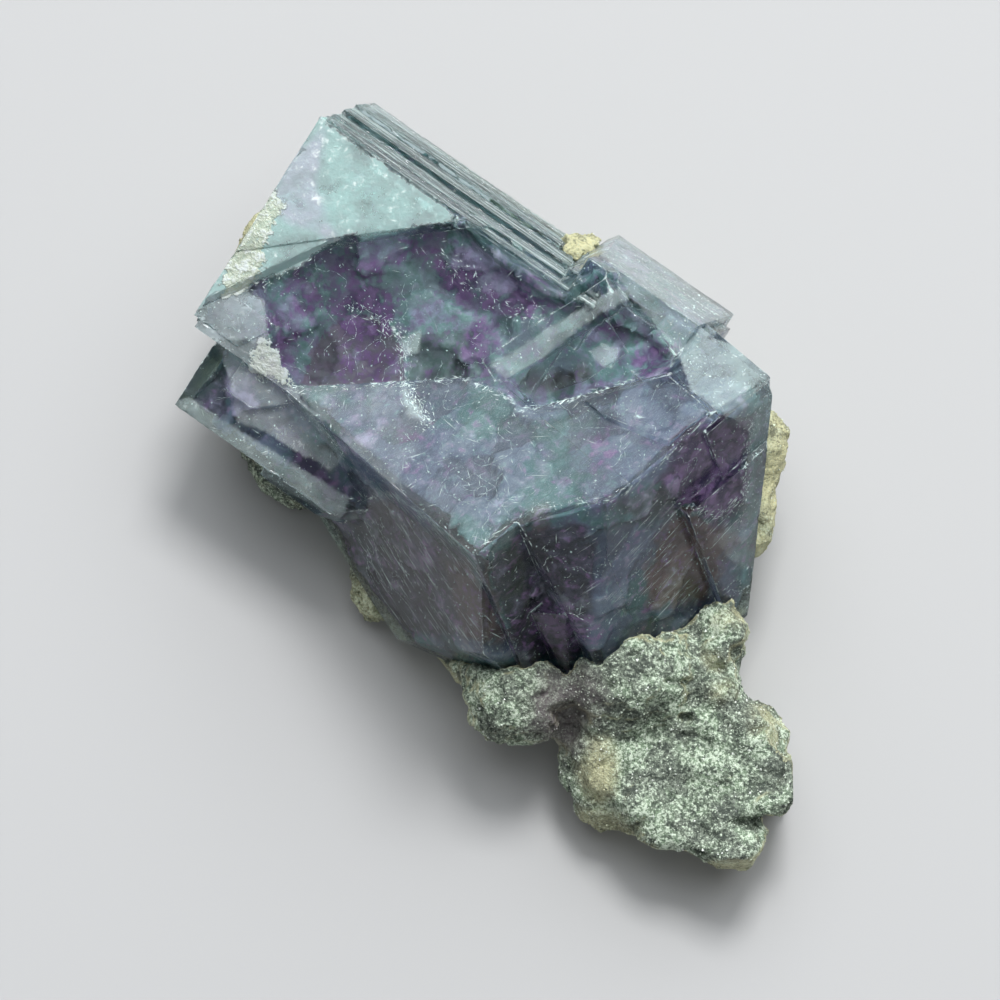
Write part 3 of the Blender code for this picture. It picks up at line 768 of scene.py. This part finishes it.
def heartMaterial():
    # mist and teal in large clouds, then the outlined colours, mottled by two noises, with painted shade
    # near black on the lower faces, then the dark lines of the striated side, and each flaw a little
    # lighter or darker
    nodes = Nodes("cloudy fluorite")
    place = nodes.mapped()
    warp = nodes.add("ShaderNodeTexNoise", {"Vector": place, "Scale": 0.7, "Detail": 2.0}).outputs["Color"]
    bent = nodes.add("ShaderNodeVectorMath", {0: place, 1: warp}, operation="ADD").outputs[0]
    mottle = nodes.noise(bent, 0.62, 4.0, 0.55)
    spots = nodes.noise(bent, 1.6, 3.0, 0.58)
    soft = nodes.noise(bent, 0.8, 2.0, 0.5)
    strips = nodes.noise(nodes.mapped(latticeMatrix("upper"), (0.05, 1.0, 3.2)), 1.0, 2.0, 0.6)

    frosted = nodes.step(nodes.value("frost"), -0.3, 0.6)
    frosted = nodes.times(frosted, nodes.step(nodes.value("frostLevel"), 0.30, 0.66))
    inner = nodes.layers(
        clouds["lilac"],
        (nodes.step(mottle, 0.40, 0.62), clouds["teal"]),
        (nodes.step(spots, 0.46, 0.66, 0.0, 0.5), clouds["mist"]),
        *((nodes.times(outlined(nodes, name, spots, 1.4, 0.12), 0.85), clouds[name])
          for name in ("window", "mauve", "slate")),
    )
    # the painted shade of the lower faces, mottled from near black to dark purple
    paintedShade = nodes.blend(nodes.step(mottle, 0.42, 0.62), clouds["paintedShade"], clouds["paintedShadeMurk"])
    deep = nodes.blend(nodes.step(soft, 0.40, 0.60), clouds["violet"], clouds["plum"])
    cores = nodes.sway(nodes.sway(nodes.value("spots"), soft, 0.52, 2.6), spots, 0.5, 1.6)
    blooms = nodes.sway(nodes.value("lavender"), mottle, 0.52, 3.0)
    ruled = nodes.times(nodes.value("side"), nodes.step(strips, 0.62, 0.42, 0.25, 0.85))
    flawTone = nodes.value("flawTone")
    bright = nodes.times(nodes.step(flawTone, 0.72, 0.80), nodes.step(mottle, 0.3, 0.8))
    colour = nodes.layers(
        clouds["deepTeal"],
        (nodes.step(nodes.sway(nodes.value("base"), mottle, 0.5, 2.2), 0.1, 0.9), clouds["deepMist"]),
        (nodes.step(spots, 0.52, 0.74, 0.0, 0.7), clouds["teal"]),
        (frosted, clouds["pale"]),
        (outlined(nodes, "hollow", mottle, 1.6, 0.25), inner),
        # painted shade over the lower faces
        (nodes.times(outlined(nodes, "paintedShade", mottle, 2.0, 0.5), 0.95), paintedShade),
        (outlined(nodes, "warm", mottle, 2.4, 0.6), clouds["warm"]),
        (nodes.step(cores, 0.0, 1.12, 0.0, 0.95), deep),
        (nodes.step(blooms, 0.15, 1.0, 0.0, 0.8), clouds["lavender"]),
        (ruled, clouds["line"]),
        (nodes.times(outlined(nodes, "violet", mottle, 2.6, 0.7), 0.85), deep),
        (nodes.times(bright, 0.18), clouds["white"]),
    )
    light = nodes.times(nodes.step(spots, 0.30, 0.70, 0.90, 1.12),
                        nodes.step(flawTone, 0.2, 0.8, 0.74, 1.20))
    colour = nodes.add("ShaderNodeVectorMath", {0: colour, "Scale": light}, operation="SCALE").outputs[0]
    return nodes.finish(colour, clouds["roughness"], nodes.bump(mottle, 0.2 * mm))


marks = {
    "scratchLift": 0.004,  # mm, above the face
    "scratchDepth": 0.006,  # mm, half-thickness
    "seamWidth": (0.008, 0.044),  # mm, half-widths of the splinters along the seams
    "seamTurn": 0.5,  # radians, how far they turn from the seam
    "flecks": 4200,
    "fleckSize": (0.035, 0.13),  # mm, half-widths of the inner flecks
    "fleckDepth": (0.10, 0.60),  # mm under the face
    "fleckThickness": 0.008,  # mm, half-thickness
    "cracks": 90,
    "crackSteps": 16,
    "crackStep": (0.25, 0.60),  # mm, length of a straight piece of a crack
    "crackTurn": 0.55,  # radians, how far it turns from piece to piece
    "crackWidth": 0.022,  # mm, half-width
    "crackDepth": 0.030,  # mm, half-thickness
    "crackSunk": 0.020,  # mm under the face
    "white": (0.86, 0.92, 0.90),
    "roughness": 0.40,
}

# Fields of scratches and specks: outline in the front frame, how many, direction and its spread in
# degrees, their half-lengths and half-widths in mm.
scratchFields = (
    (((-14.3, -2.4), (-7.9, -0.6), (-0.7, -6.6), (1.3, -12.9), (-9.6, -12.1)), 210, -41.0, 12.0,
     (0.10, 1.5), (0.014, 0.046)),
    (((7.7, -2.9), (13.0, -1.0), (19.3, -1.0), (21.9, -3.0), (18.4, -9.5), (9.0, -12.0)), 150, 43.0, 6.0,
     (0.3, 2.0), (0.008, 0.026)),
    (((-0.7, -6.6), (7.7, -2.9), (9.0, -12.0), (2.3, -15.0)), 45, 60.0, 40.0, (0.1, 0.9), (0.010, 0.034)),
    (((-11.0, 3.0), (-3.0, 6.0), (9.0, 4.0), (-0.7, -6.0)), 70, -38.0, 60.0, (0.2, 1.0), (0.008, 0.024)),
    (((11.0, 22.4), (21.4, 14.5), (18.4, 12.6), (16.1, 11.1), (11.9, 16.6), (9.1, 20.7)), 260, 0.0, 90.0,
     (0.03, 0.12), (0.020, 0.055)),
    (((16.1, 11.1), (24.4, 9.8), (24.8, -6.1), (21.8, -2.6), (21.0, 7.5)), 200, 0.0, 90.0, (0.03, 0.12),
     (0.015, 0.045)),
    (((-24.0, 16.0), (-10.8, 21.1), (-2.2, 22.7), (-13.8, 30.9), (-14.0, 33.0)), 160, 0.0, 90.0,
     (0.03, 0.14), (0.015, 0.045)),
    (((-28.0, 9.0), (-12.0, -3.0), (20.0, -14.0), (26.0, 8.0), (10.0, 24.0), (-14.0, 32.0)), 520, 0.0, 90.0,
     (0.05, 0.6), (0.008, 0.024)),
)

# Seams where faces meet or break: a line in the front frame, how many bright splinters lie along it,
# how far they spread from it in mm, and their half-lengths.
seams = (
    (((-20.8, 16.8), (-16.4, 18.7), (-14.1, 20.5), (-10.8, 21.1), (-2.2, 22.7)), 220, 0.45, (0.05, 0.22)),
    (((-16.5, 8.6), (-7.2, 8.9), (-2.4, 9.4), (1.4, 7.9), (2.7, 6.5), (6.1, 7.2), (12.9, 9.3)), 420, 0.16,
     (0.06, 0.50)),
    (((-8.3, 13.4), (-7.1, 11.3), (-7.1, 8.9), (-5.0, 5.6)), 340, 0.60, (0.06, 0.30)),
    (((-11.8, -0.9), (-7.9, -0.6), (-1.4, -5.4), (3.9, -1.7), (11.0, -0.8), (13.9, 1.4), (18.2, 6.1)),
     420, 0.22, (0.06, 0.50)),
    (((16.4, -1.4), (19.7, -2.4), (21.2, -1.0)), 90, 0.30, (0.08, 0.45)),
    (((-3.8, 19.7), (-1.4, 17.4), (1.0, 15.4), (4.6, 14.2)), 130, 0.70, (0.05, 0.30)),
    (((-12.0, 15.6), (-8.9, 14.4), (-6.4, 12.6)), 110, 0.50, (0.05, 0.24)),
    (((-23.3, 12.6), (-19.6, 9.4), (-16.4, 8.6), (-12.2, 2.8)), 150, 0.35, (0.06, 0.30)),
    (((24.4, 9.8), (22.1, 4.9), (21.4, -2.6)), 120, 0.30, (0.05, 0.30)),
)


def nearLine(places, line):
    # distance in the picture to the nearest piece of the line, and that piece's angle
    spots = inFront(places)[:, :2]
    nearest = np.full(len(spots), np.inf)
    angle = np.zeros(len(spots))
    for start, end in zip(np.array(line[:-1]), np.array(line[1:])):
        away = awayFrom(spots, start, end)
        angle = np.where(away < nearest, math.atan2(*(end - start)[::-1]), angle)
        nearest = np.minimum(nearest, away)
    return nearest, angle


def insideSolid(places, points, faces):
    # the solid angles that all the faces fill as seen from a place sum to a whole turn inside
    def dot(first, second):
        # row by row
        return np.einsum("ij,ij->i", first, second)

    total = np.zeros(len(places))
    for corners in points[faces]:
        a, b, c = (corner - places for corner in corners)
        la, lb, lc = (np.linalg.norm(side, axis=1) for side in (a, b, c))
        base = la * lb * lc + dot(a, b) * lc + dot(b, c) * la + dot(c, a) * lb
        total += 2 * np.arctan2(dot(a, np.cross(b, c)), base)
    return total > 2 * math.pi


def alongFace(outward, angles):
    # the picture direction of each angle, laid onto the face that the normal belongs to
    table = np.array(frontToWorld)[:3, :3] / mm
    ways = np.stack([np.cos(angles), np.sin(angles), np.zeros(len(angles))], axis=1) @ table.T
    ways -= outward * np.sum(ways * outward, axis=1)[:, None]
    return unitRows(ways)


def slivers(starts, ends, outward, width, thickness):
    # a long flat octahedron from each start to its end: places, unit size and axes for stonesMesh
    ways = (ends - starts) / 2
    across = unitRows(np.cross(outward, ways))
    axes = np.stack([ways, across * width[:, None], outward * thickness], axis=2)
    return (starts + ends) / 2, np.ones(len(starts)), axes


def makeMarks(skinPoints, skinFaces, material):
    # scratches and jagged cracks on the faces and flecks under them, all small flat octahedra
    rng = np.random.default_rng(57)
    shape = packedSolid("fluorite_crystals")
    middle = skinPoints[skinFaces].mean(axis=1)
    towards = unitRows(faceNormals(skinPoints, skinFaces)) @ frontWay
    bare = (inFront(middle)[:, 2] > crystals["buried"]) & (towards > 0.12)
    bare &= ~striatedSide(inLattice(middle, "upper"))
    groups = []

    def flatOn(starts, ends, outward, reach=0.06):
        # both ends lie on the face: just inside the solid below and just outside it above
        below = np.concatenate([starts, ends]) - np.tile(outward, (2, 1)) * reach * mm
        above = np.concatenate([starts, ends]) + np.tile(outward, (2, 1)) * 2 * reach * mm
        good = insideSolid(below, *shape) & ~insideSolid(above, *shape)
        return good.reshape(2, -1).all(axis=0)

    def lay(starts, ends, outward, widths, thickness):
        # only those that lie flat are kept; the widths are drawn after the test
        kept = flatOn(starts, ends, outward)
        groups.append(slivers(starts[kept], ends[kept], outward[kept], widths()[kept] * mm, thickness * mm))

    def strokes(count, weight, heading, lengths, widths):
        # at spots drawn by the weight, each along its heading, most of them short and thin
        spots, outward, _ = scatteredOn(skinPoints, skinFaces, count, weight, rng)
        ways = alongFace(outward, heading(spots))
        ways *= between(lengths, rng.random(count) ** 2)[:, None] * mm
        lift = outward * marks["scratchLift"] * mm
        lay(spots - ways + lift, spots + ways + lift, outward,
            lambda: between(widths, rng.random(count) ** 2), marks["scratchDepth"])

    for corners, count, angle, spread, lengths, widths in scratchFields:
        field = outlineDepth(middle, ((1.0, corners),))[0] > 0
        strokes(count, bare * field, lambda spots: np.radians(angle + spread * rng.uniform(-1, 1, count)),
                lengths, widths)
    turn = marks["seamTurn"]
    for line, count, spread, lengths in seams:
        weight = bare * np.exp(-(nearLine(middle, line)[0] / spread) ** 2)
        strokes(count, weight, lambda spots: nearLine(spots, line)[1] + rng.normal(0, turn, count),
                lengths, marks["seamWidth"])

    count = marks["cracks"]
    spots, outward, _ = scatteredOn(skinPoints, skinFaces, count, bare, rng)
    heading = rng.uniform(0, 2 * math.pi, count)
    place = spots - outward * marks["crackSunk"] * mm
    for _ in range(marks["crackSteps"]):
        heading = heading + rng.normal(0, marks["crackTurn"], count)
        step = rng.uniform(*marks["crackStep"], count)[:, None] * mm
        nextPlace = place + alongFace(outward, heading) * step
        lay(place, nextPlace, outward, lambda: marks["crackWidth"] * rng.uniform(0.4, 1.3, count),
            marks["crackDepth"])
        place = nextPlace

    # flecks crowd into wisps and along their borders; on frosted faces they lie on the face itself
    spots, outward, _ = scatteredOn(skinPoints, skinFaces, marks["flecks"] * 3, bare, rng)
    wisps = layered(inFront(spots), 2.2, 58, 4)
    likely = np.where(wisps > 0.12, 1.0, 0.16) * np.where(np.abs(wisps) < 0.03, 3.0, 1.0)
    chosen = rng.choice(len(spots), marks["flecks"], replace=False, p=likely / likely.sum())
    spots, outward = spots[chosen], outward[chosen]
    reach, level = outlineDepth(spots, outlines["frost"])
    deep = rng.uniform(*marks["fleckDepth"], len(spots)) * ~((reach > 0) & (level > 0.2)) * mm
    size = between(marks["fleckSize"], rng.random(len(spots)) ** 2) * mm
    tilt = unitRows(outward + 0.45 * rng.normal(size=(len(spots), 3)))
    ways = unitRows(np.cross(tilt, rng.normal(size=(len(spots), 3)))) * size[:, None]
    centre = spots - outward * deep[:, None]
    width = size * rng.uniform(0.2, 0.8, len(size))
    groups.append(slivers(centre - ways, centre + ways, tilt, width, marks["fleckThickness"] * mm))

    spots, sizes, axes = (np.concatenate(group) for group in zip(*groups))
    points, faces = stonesMesh(spots, sizes, axes, *octahedron)
    points = np.clip(points, *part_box("fluorite_crystals"))
    addPiece("crystal_marks", points, faces, material, smooth=False)


def markMaterial():
    # crushed crystal, from the frost's tint to nearly white
    nodes = Nodes("crushed fluorite")
    tone = nodes.noise(nodes.mapped(), 3.0, 2.0)
    return nodes.finish(nodes.blend(tone, crystals["frostTeal"], marks["white"]), marks["roughness"])


rock = {
    "voxel": 0.30,  # mm, of the remeshed rock
    "swell": 0.42,  # mm that it grows by, so that it closes on the crystals
    "lumps": 0.42,  # mm, knobs about 2.4 mm across
    "pits": 0.34,  # mm, hollows about 1 mm across
    "grit": 0.24,  # mm, grains about 0.5 mm across
    "crest": 0.20,  # mm, sharp crests about 1.4 mm apart
    "chunk": 2.3,  # mm, across the broken lumps
    "chunkDepth": 0.34,  # mm, between them
    "topDepth": -13.0,  # mm in the front frame, above which the forms below are raised or sunk
    "rimDepth": (-17.0, -13.0),  # mm, where the cream rims fade out below the front
    # shade serves also as painted shade and pale as painted light on the rock's grain
    "shade": (0.055, 0.070, 0.056),
    "grey": (0.205, 0.240, 0.190),
    "green": (0.215, 0.300, 0.195),
    "pale": (0.66, 0.76, 0.61),
    "cream": (0.60, 0.58, 0.34),
    "umber": (0.150, 0.120, 0.130),
}

# Knobs (raised) and hollows (sunk) on the rock: place in the front frame, half-widths, rise in mm.
rockForms = (
    ((20.6, -12.2), (1.5, 1.6), 0.8),
    ((19.5, -13.9), (1.3, 1.4), 0.6),
    ((19.4, -17.2), (1.7, 1.6), 0.8),
    ((22.4, -20.8), (2.4, 2.0), 0.7),
    ((9.6, -23.8), (1.8, 2.8), 0.6),
    ((17.2, -23.6), (1.1, 0.9), 0.4),
    ((12.8, -27.4), (1.2, 0.9), 0.4),
    ((24.2, -27.0), (1.6, 0.9), 0.8),
    ((21.4, -31.2), (2.0, 1.7), 0.8),
    ((14.4, -17.4), (2.4, 1.0), 0.5),
    ((6.8, -20.0), (1.6, 2.2), -1.5),
    ((23.0, -28.6), (2.8, 0.6), -1.1),
    ((17.0, -19.7), (0.8, 0.4), -0.8),
    ((16.4, -16.6), (1.8, 0.5), -0.5),
)
# A darker purple-brown over the sunk hollow in front: centre, half-widths and strength.
umberZone = (((6.2, -18.4, -6.0), (4.2, 4.4, 9.0), 0.9),)

# Cream crust on the rock, in the front frame: centre, half-widths and strength.
creamZones = (
    ((24.6, 2.0, -9.0), (2.6, 7.5, 5.0), 1.0),
    ((23.4, -6.6, -8.0), (2.0, 3.6, 5.0), 0.9),
    ((8.4, 20.6, -10.0), (4.0, 2.6, 5.0), 1.0),
    ((-19.6, 20.0, -9.0), (4.0, 8.0, 6.0), 1.0),
    ((20.6, -12.0, -6.0), (1.6, 1.6, 3.0), 0.9),
    ((19.4, -14.4, -6.0), (1.6, 1.6, 3.0), 0.8),
    ((19.8, -17.6, -6.0), (1.7, 1.6, 3.0), 0.8),
    ((22.6, -20.6, -6.0), (2.4, 2.2, 3.0), 0.8),
    ((9.6, -23.6, -6.0), (2.0, 3.4, 4.0), 0.8),
    ((21.6, -31.4, -8.0), (2.4, 1.9, 4.0), 1.0),
    ((24.4, -27.2, -7.0), (1.7, 1.4, 3.0), 0.8),
    ((11.0, -29.0, -9.0), (5.0, 2.4, 5.0), 0.6),
    ((-10.0, -9.0, -9.0), (4.0, 6.0, 8.0), 0.5),
)


def makeRock(material):
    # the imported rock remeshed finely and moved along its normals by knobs, pits, grit, crests, broken
    # lumps and the forms read from the picture
    points, faces = packedSolid("matrix_rock")
    points, faces = remeshed("rock", points, faces, rock["voxel"], rock["swell"])
    outward, _ = pointNormals(points, faces)
    place = inFront(points)
    knobs = layered(place, 2.4, 21, 3)
    pits = ramp(noise(place, 1.05, 22), 0.25, 0.9)
    grit = layered(place, 0.55, 23, 2)
    crests = (0.5 - 2 * np.abs(noise(place, 1.4, 26))) * ramp(noise(place, 3.0, 27), -0.5, 0.3)
    number, slope = broken(place, rock["chunk"], 0.5, 1.6, (84, 80, 88))
    depth = rock["lumps"] * knobs - rock["pits"] * pits + rock["grit"] * grit - 0.06
    depth += rock["crest"] * crests + rock["chunkDepth"] * (0.6 * number + slope / rock["chunk"])
    top = place[:, 2] > rock["topDepth"]
    for centre, half, rise in rockForms:
        away = np.linalg.norm((place[:, :2] - centre) / half, axis=1) + 0.5 * knobs + 0.2 * grit
        depth += top * rise * ramp(1.15 - away, 0.0, 0.7)
    depth *= ramp(points[:, 2], 0.0, 1.2 * mm)
    points = np.clip(points + outward * depth[:, None] * mm, *cadBox)

    # cream lies in its zones and on the rims, where the rock turns away from the front
    facing = pointNormals(points, faces)[0] @ frontWay
    rim = 0.75 * ramp(0.62 - facing + 0.25 * knobs, 0.0, 0.35) * ramp(noise(place, 2.2, 28), -0.4, 0.3)
    rim *= 0.25 + 0.75 * ramp(place[:, 2] + 1.5 * knobs, *rock["rimDepth"])
    place = inFront(points)
    values = {
        "cream": np.maximum(zoneStrength(place, creamZones, 24), rim),
        "umber": zoneStrength(place, umberZone, 25),
        # painted shade: darker where the surface is pushed in, in pits and hollows
        "sunk": ramp(-depth, 0.10, 0.90),
    }
    piece = addPiece("matrix_rock_look", points, faces, material, values)
    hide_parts("matrix_rock")
    return points, faces, values


def rockMaterial():
    # greys and greens in patches about 3 mm across, darker lumps, sugary grain about 0.3 mm across
    # with painted light and shade on it, painted shade where the surface is sunk in, then crust and a
    # darker purple-brown over the sunk hollow
    nodes = Nodes("granular rock")
    place = nodes.mapped()
    patch = nodes.noise(place, 0.30, 3.0, 0.6)
    lump = nodes.noise(place, 1.1, 3.0, 0.65)
    sugar = nodes.noise(place, 3.4, 3.0, 0.75)
    fine = nodes.noise(place, 7.0, 2.0, 0.7)
    # painted light and shade on the sugary grain: where this is high the grain is painted pale, where low
    # painted dark
    paintedGrainLight = nodes.sway(nodes.sway(sugar, patch, 0.5, 0.45), lump, 0.5, 0.30)
    cream = nodes.times(nodes.value("cream"), nodes.step(fine, 0.22, 0.52))
    colour = nodes.layers(
        rock["grey"],
        (nodes.step(patch, 0.38, 0.62), rock["green"]),
        (nodes.step(lump, 0.52, 0.38, 0.0, 0.7), rock["shade"]),
        # painted light, then painted shade, on the sugary grain
        (nodes.step(paintedGrainLight, 0.52, 0.61), rock["pale"]),
        (nodes.step(paintedGrainLight, 0.46, 0.36), rock["shade"]),
        # painted shade in the sunk places
        (nodes.times(nodes.value("sunk"), 0.6), rock["shade"]),
        (nodes.times(cream, nodes.step(paintedGrainLight, 0.30, 0.50, 0.4, 1.0)), rock["cream"]),
        (nodes.times(nodes.value("umber"), 0.75), rock["umber"]),
    )
    normal = nodes.bump(fine, 0.10 * mm, nodes.bump(sugar, 0.22 * mm))
    return nodes.finish(colour, nodes.step(sugar, 0.3, 0.8, 0.85, 0.45), normal)


grains = {
    "count": 23000,
    "size": (0.055, 0.155),  # mm, half-widths
    "sunk": 0.25,  # of its half-width, how far each is sunk in
    "white": (0.84, 0.88, 0.82),
}


def spunAxes(rng, count):
    # random turns from random unit quaternions, as matrices
    q = rng.normal(size=(count, 4))
    w, x, y, z = (q / np.linalg.norm(q, axis=1)[:, None]).T
    return np.stack([
        np.stack([1 - 2 * (y * y + z * z), 2 * (x * y - z * w), 2 * (x * z + y * w)], axis=1),
        np.stack([2 * (x * y + z * w), 1 - 2 * (x * x + z * z), 2 * (y * z - x * w)], axis=1),
        np.stack([2 * (x * z - y * w), 2 * (y * z + x * w), 1 - 2 * (x * x + y * y)], axis=1),
    ], axis=1)


def scatteredOn(points, faces, count, weight, rng):
    # triangles drawn in proportion to area times weight, and a random spot in each
    normals = faceNormals(points, faces)
    area = np.linalg.norm(normals, axis=1)
    share = area * weight
    chosen = rng.choice(len(faces), count, p=share / share.sum())
    u, v = rng.random((2, count))
    over = u + v > 1
    u[over], v[over] = 1 - u[over], 1 - v[over]
    a, b, c = (points[faces[chosen, i]] for i in range(3))
    return a + (b - a) * u[:, None] + (c - a) * v[:, None], normals[chosen] / area[chosen][:, None], chosen


def stonesMesh(spots, sizes, axes, shape, sides):
    # one small solid at every spot: its corners times its size, turned by its axes
    corners = np.einsum("nij,kj->nki", axes, shape) * sizes[:, None, None] + spots[:, None, :]
    offsets = np.arange(len(spots))[:, None, None] * len(shape)
    return corners.reshape(-1, 3), (sides[None] + offsets).reshape(-1, sides.shape[1])


octahedron = (
    np.array([(1, 0, 0), (-1, 0, 0), (0, 1, 0), (0, -1, 0), (0, 0, 1), (0, 0, -1)], float),
    np.array([(0, 2, 4), (2, 1, 4), (1, 3, 4), (3, 0, 4), (2, 0, 5), (1, 2, 5), (3, 1, 5), (0, 3, 5)]),
)


def makeGrains(rockPoints, rockFaces, rockValues, material):
    # octahedra a little over half sunk in the rock, most of them on the side that the picture shows
    rng = np.random.default_rng(41)
    middle = rockPoints[rockFaces].mean(axis=1)
    weight = (0.12 + (inFront(middle)[:, 2] > rock["rimDepth"][0])) * (middle[:, 2] > 0.6 * mm)
    spots, outward, chosen = scatteredOn(rockPoints, rockFaces, grains["count"], weight, rng)
    sizes = between(grains["size"], rng.random(len(spots)) ** 2) * mm
    axes = spunAxes(rng, len(spots)) * rng.uniform(0.7, 1.25, (len(spots), 1, 3))
    spots = spots - outward * sizes[:, None] * grains["sunk"]
    points, faces = stonesMesh(spots, sizes, axes, *octahedron)
    numbers = {key: rockValues[key][rockFaces[chosen, 0]] for key in ("cream", "umber")}
    numbers["tone"] = rng.random(len(spots))
    values = {key: np.repeat(each, len(octahedron[0])) for key, each in numbers.items()}
    addPiece("matrix_grains", np.clip(points, *cadBox), faces, material, values, smooth=False)


def grainMaterial():
    # each grain a tone of its own, from the rock's shade to white, then crust and the darker
    # purple-brown over the hollow, as on the rock
    nodes = Nodes("sugary grains")
    tone = nodes.value("tone")
    place = nodes.mapped()
    cream = nodes.times(nodes.value("cream"), nodes.step(nodes.noise(place, 1.2, 2.0), 0.3, 0.6))
    colour = nodes.layers(
        rock["grey"],
        (nodes.step(tone, 0.30, 0.80), rock["pale"]),
        (nodes.step(tone, 0.30, 0.10, 0.0, 0.8), rock["shade"]),
        (nodes.step(tone, 0.84, 0.92), grains["white"]),
        (cream, rock["cream"]),
        (nodes.times(nodes.value("umber"), 0.6), rock["umber"]),
    )
    normal = nodes.bump(nodes.noise(place, 9.0, 2.0), 0.02 * mm)
    return nodes.finish(colour, nodes.step(tone, 0.3, 1.0, 0.55, 0.16), normal)


stage = {
    "floorColour": (0.43, 0.43, 0.43),
    "floorRoughness": 0.7,
    "floorHalf": 0.9,  # m
    "floorHeight": -1e-5,  # m
    "lampPlace": (0.10, 0.30, 0.62),
    "lampPower": 3.6,
    "lampSize": 0.20,  # m
    "skyColour": (0.94, 0.97, 1.0),
    "skyLight": 0.27,  # of the dim part of the sky
    "softbox": (0.16, 0.52, 0.84),  # direction of its bright part
    "softboxLight": 2.6,
    "softboxEdge": (0.70, 0.90),  # cosines where it starts and where it is full
}


def makeStage():
    # a pale floor just under the specimen and a soft lamp above its top edge
    half = stage["floorHalf"]
    mesh = bpy.data.meshes.new("floor")
    corners = ((-half, -half), (half, -half), (half, half), (-half, half))
    mesh.from_pydata([(x, y, stage["floorHeight"]) for x, y in corners], [], [(0, 1, 2, 3)])
    floor = placed("floor", mesh)
    mesh.materials.append(Nodes("pale floor").finish((*stage["floorColour"], 1.0), stage["floorRoughness"]))
    data = bpy.data.lights.new("soft lamp", "AREA")
    data.energy, data.size = stage["lampPower"], stage["lampSize"]
    lamp = placed("soft lamp", data)
    lamp.location = stage["lampPlace"]
    lamp.rotation_euler = (-lamp.location).to_track_quat("-Z", "Y").to_euler()


def makeSky():
    # grey all round; brighter where the direction's dot product with the softbox's passes its edge
    nodes = Nodes("studio", "worlds", "Background")
    towards = nodes.add("ShaderNodeVectorMath", {
        0: nodes.places["Generated"], 1: Vector(stage["softbox"]).normalized(),
    }, operation="DOT_PRODUCT").outputs["Value"]
    light = nodes.step(towards, *stage["softboxEdge"], stage["skyLight"], stage["softboxLight"])
    nodes.set(nodes.shader.inputs["Color"], (*stage["skyColour"], 1.0))
    nodes.set(nodes.shader.inputs["Strength"], light)
    bpy.context.scene.world = nodes.owner
    bpy.context.scene.view_settings.view_transform = "Standard"


camera = {
    "distance": 600.0,  # mm from the front plane
    "middle": (1.02, -1.02),  # mm, what the picture's middle looks at
    "width": 85.0,  # mm across the picture at the front plane
    "sensor": 36.0,
}


def makeCamera():
    # it looks straight down the front frame's third axis
    data = bpy.data.cameras.new("camera")
    data.sensor_width = camera["sensor"]
    data.lens = camera["sensor"] * camera["distance"] / camera["width"]
    data.clip_start, data.clip_end = 0.01, 10
    seen = placed("camera", data)
    seen.location = frontToWorld @ Vector((*camera["middle"], camera["distance"]))
    seen.rotation_euler = (math.radians(front["lean"]), 0, 0)
    bpy.context.scene.camera = seen


makeStage()
makeSky()
makeCamera()
skin = makeCrystals(crystalMaterial())
makeHeart(heartMaterial())
makeMarks(*skin, markMaterial())
makeGrains(*makeRock(rockMaterial()), grainMaterial())
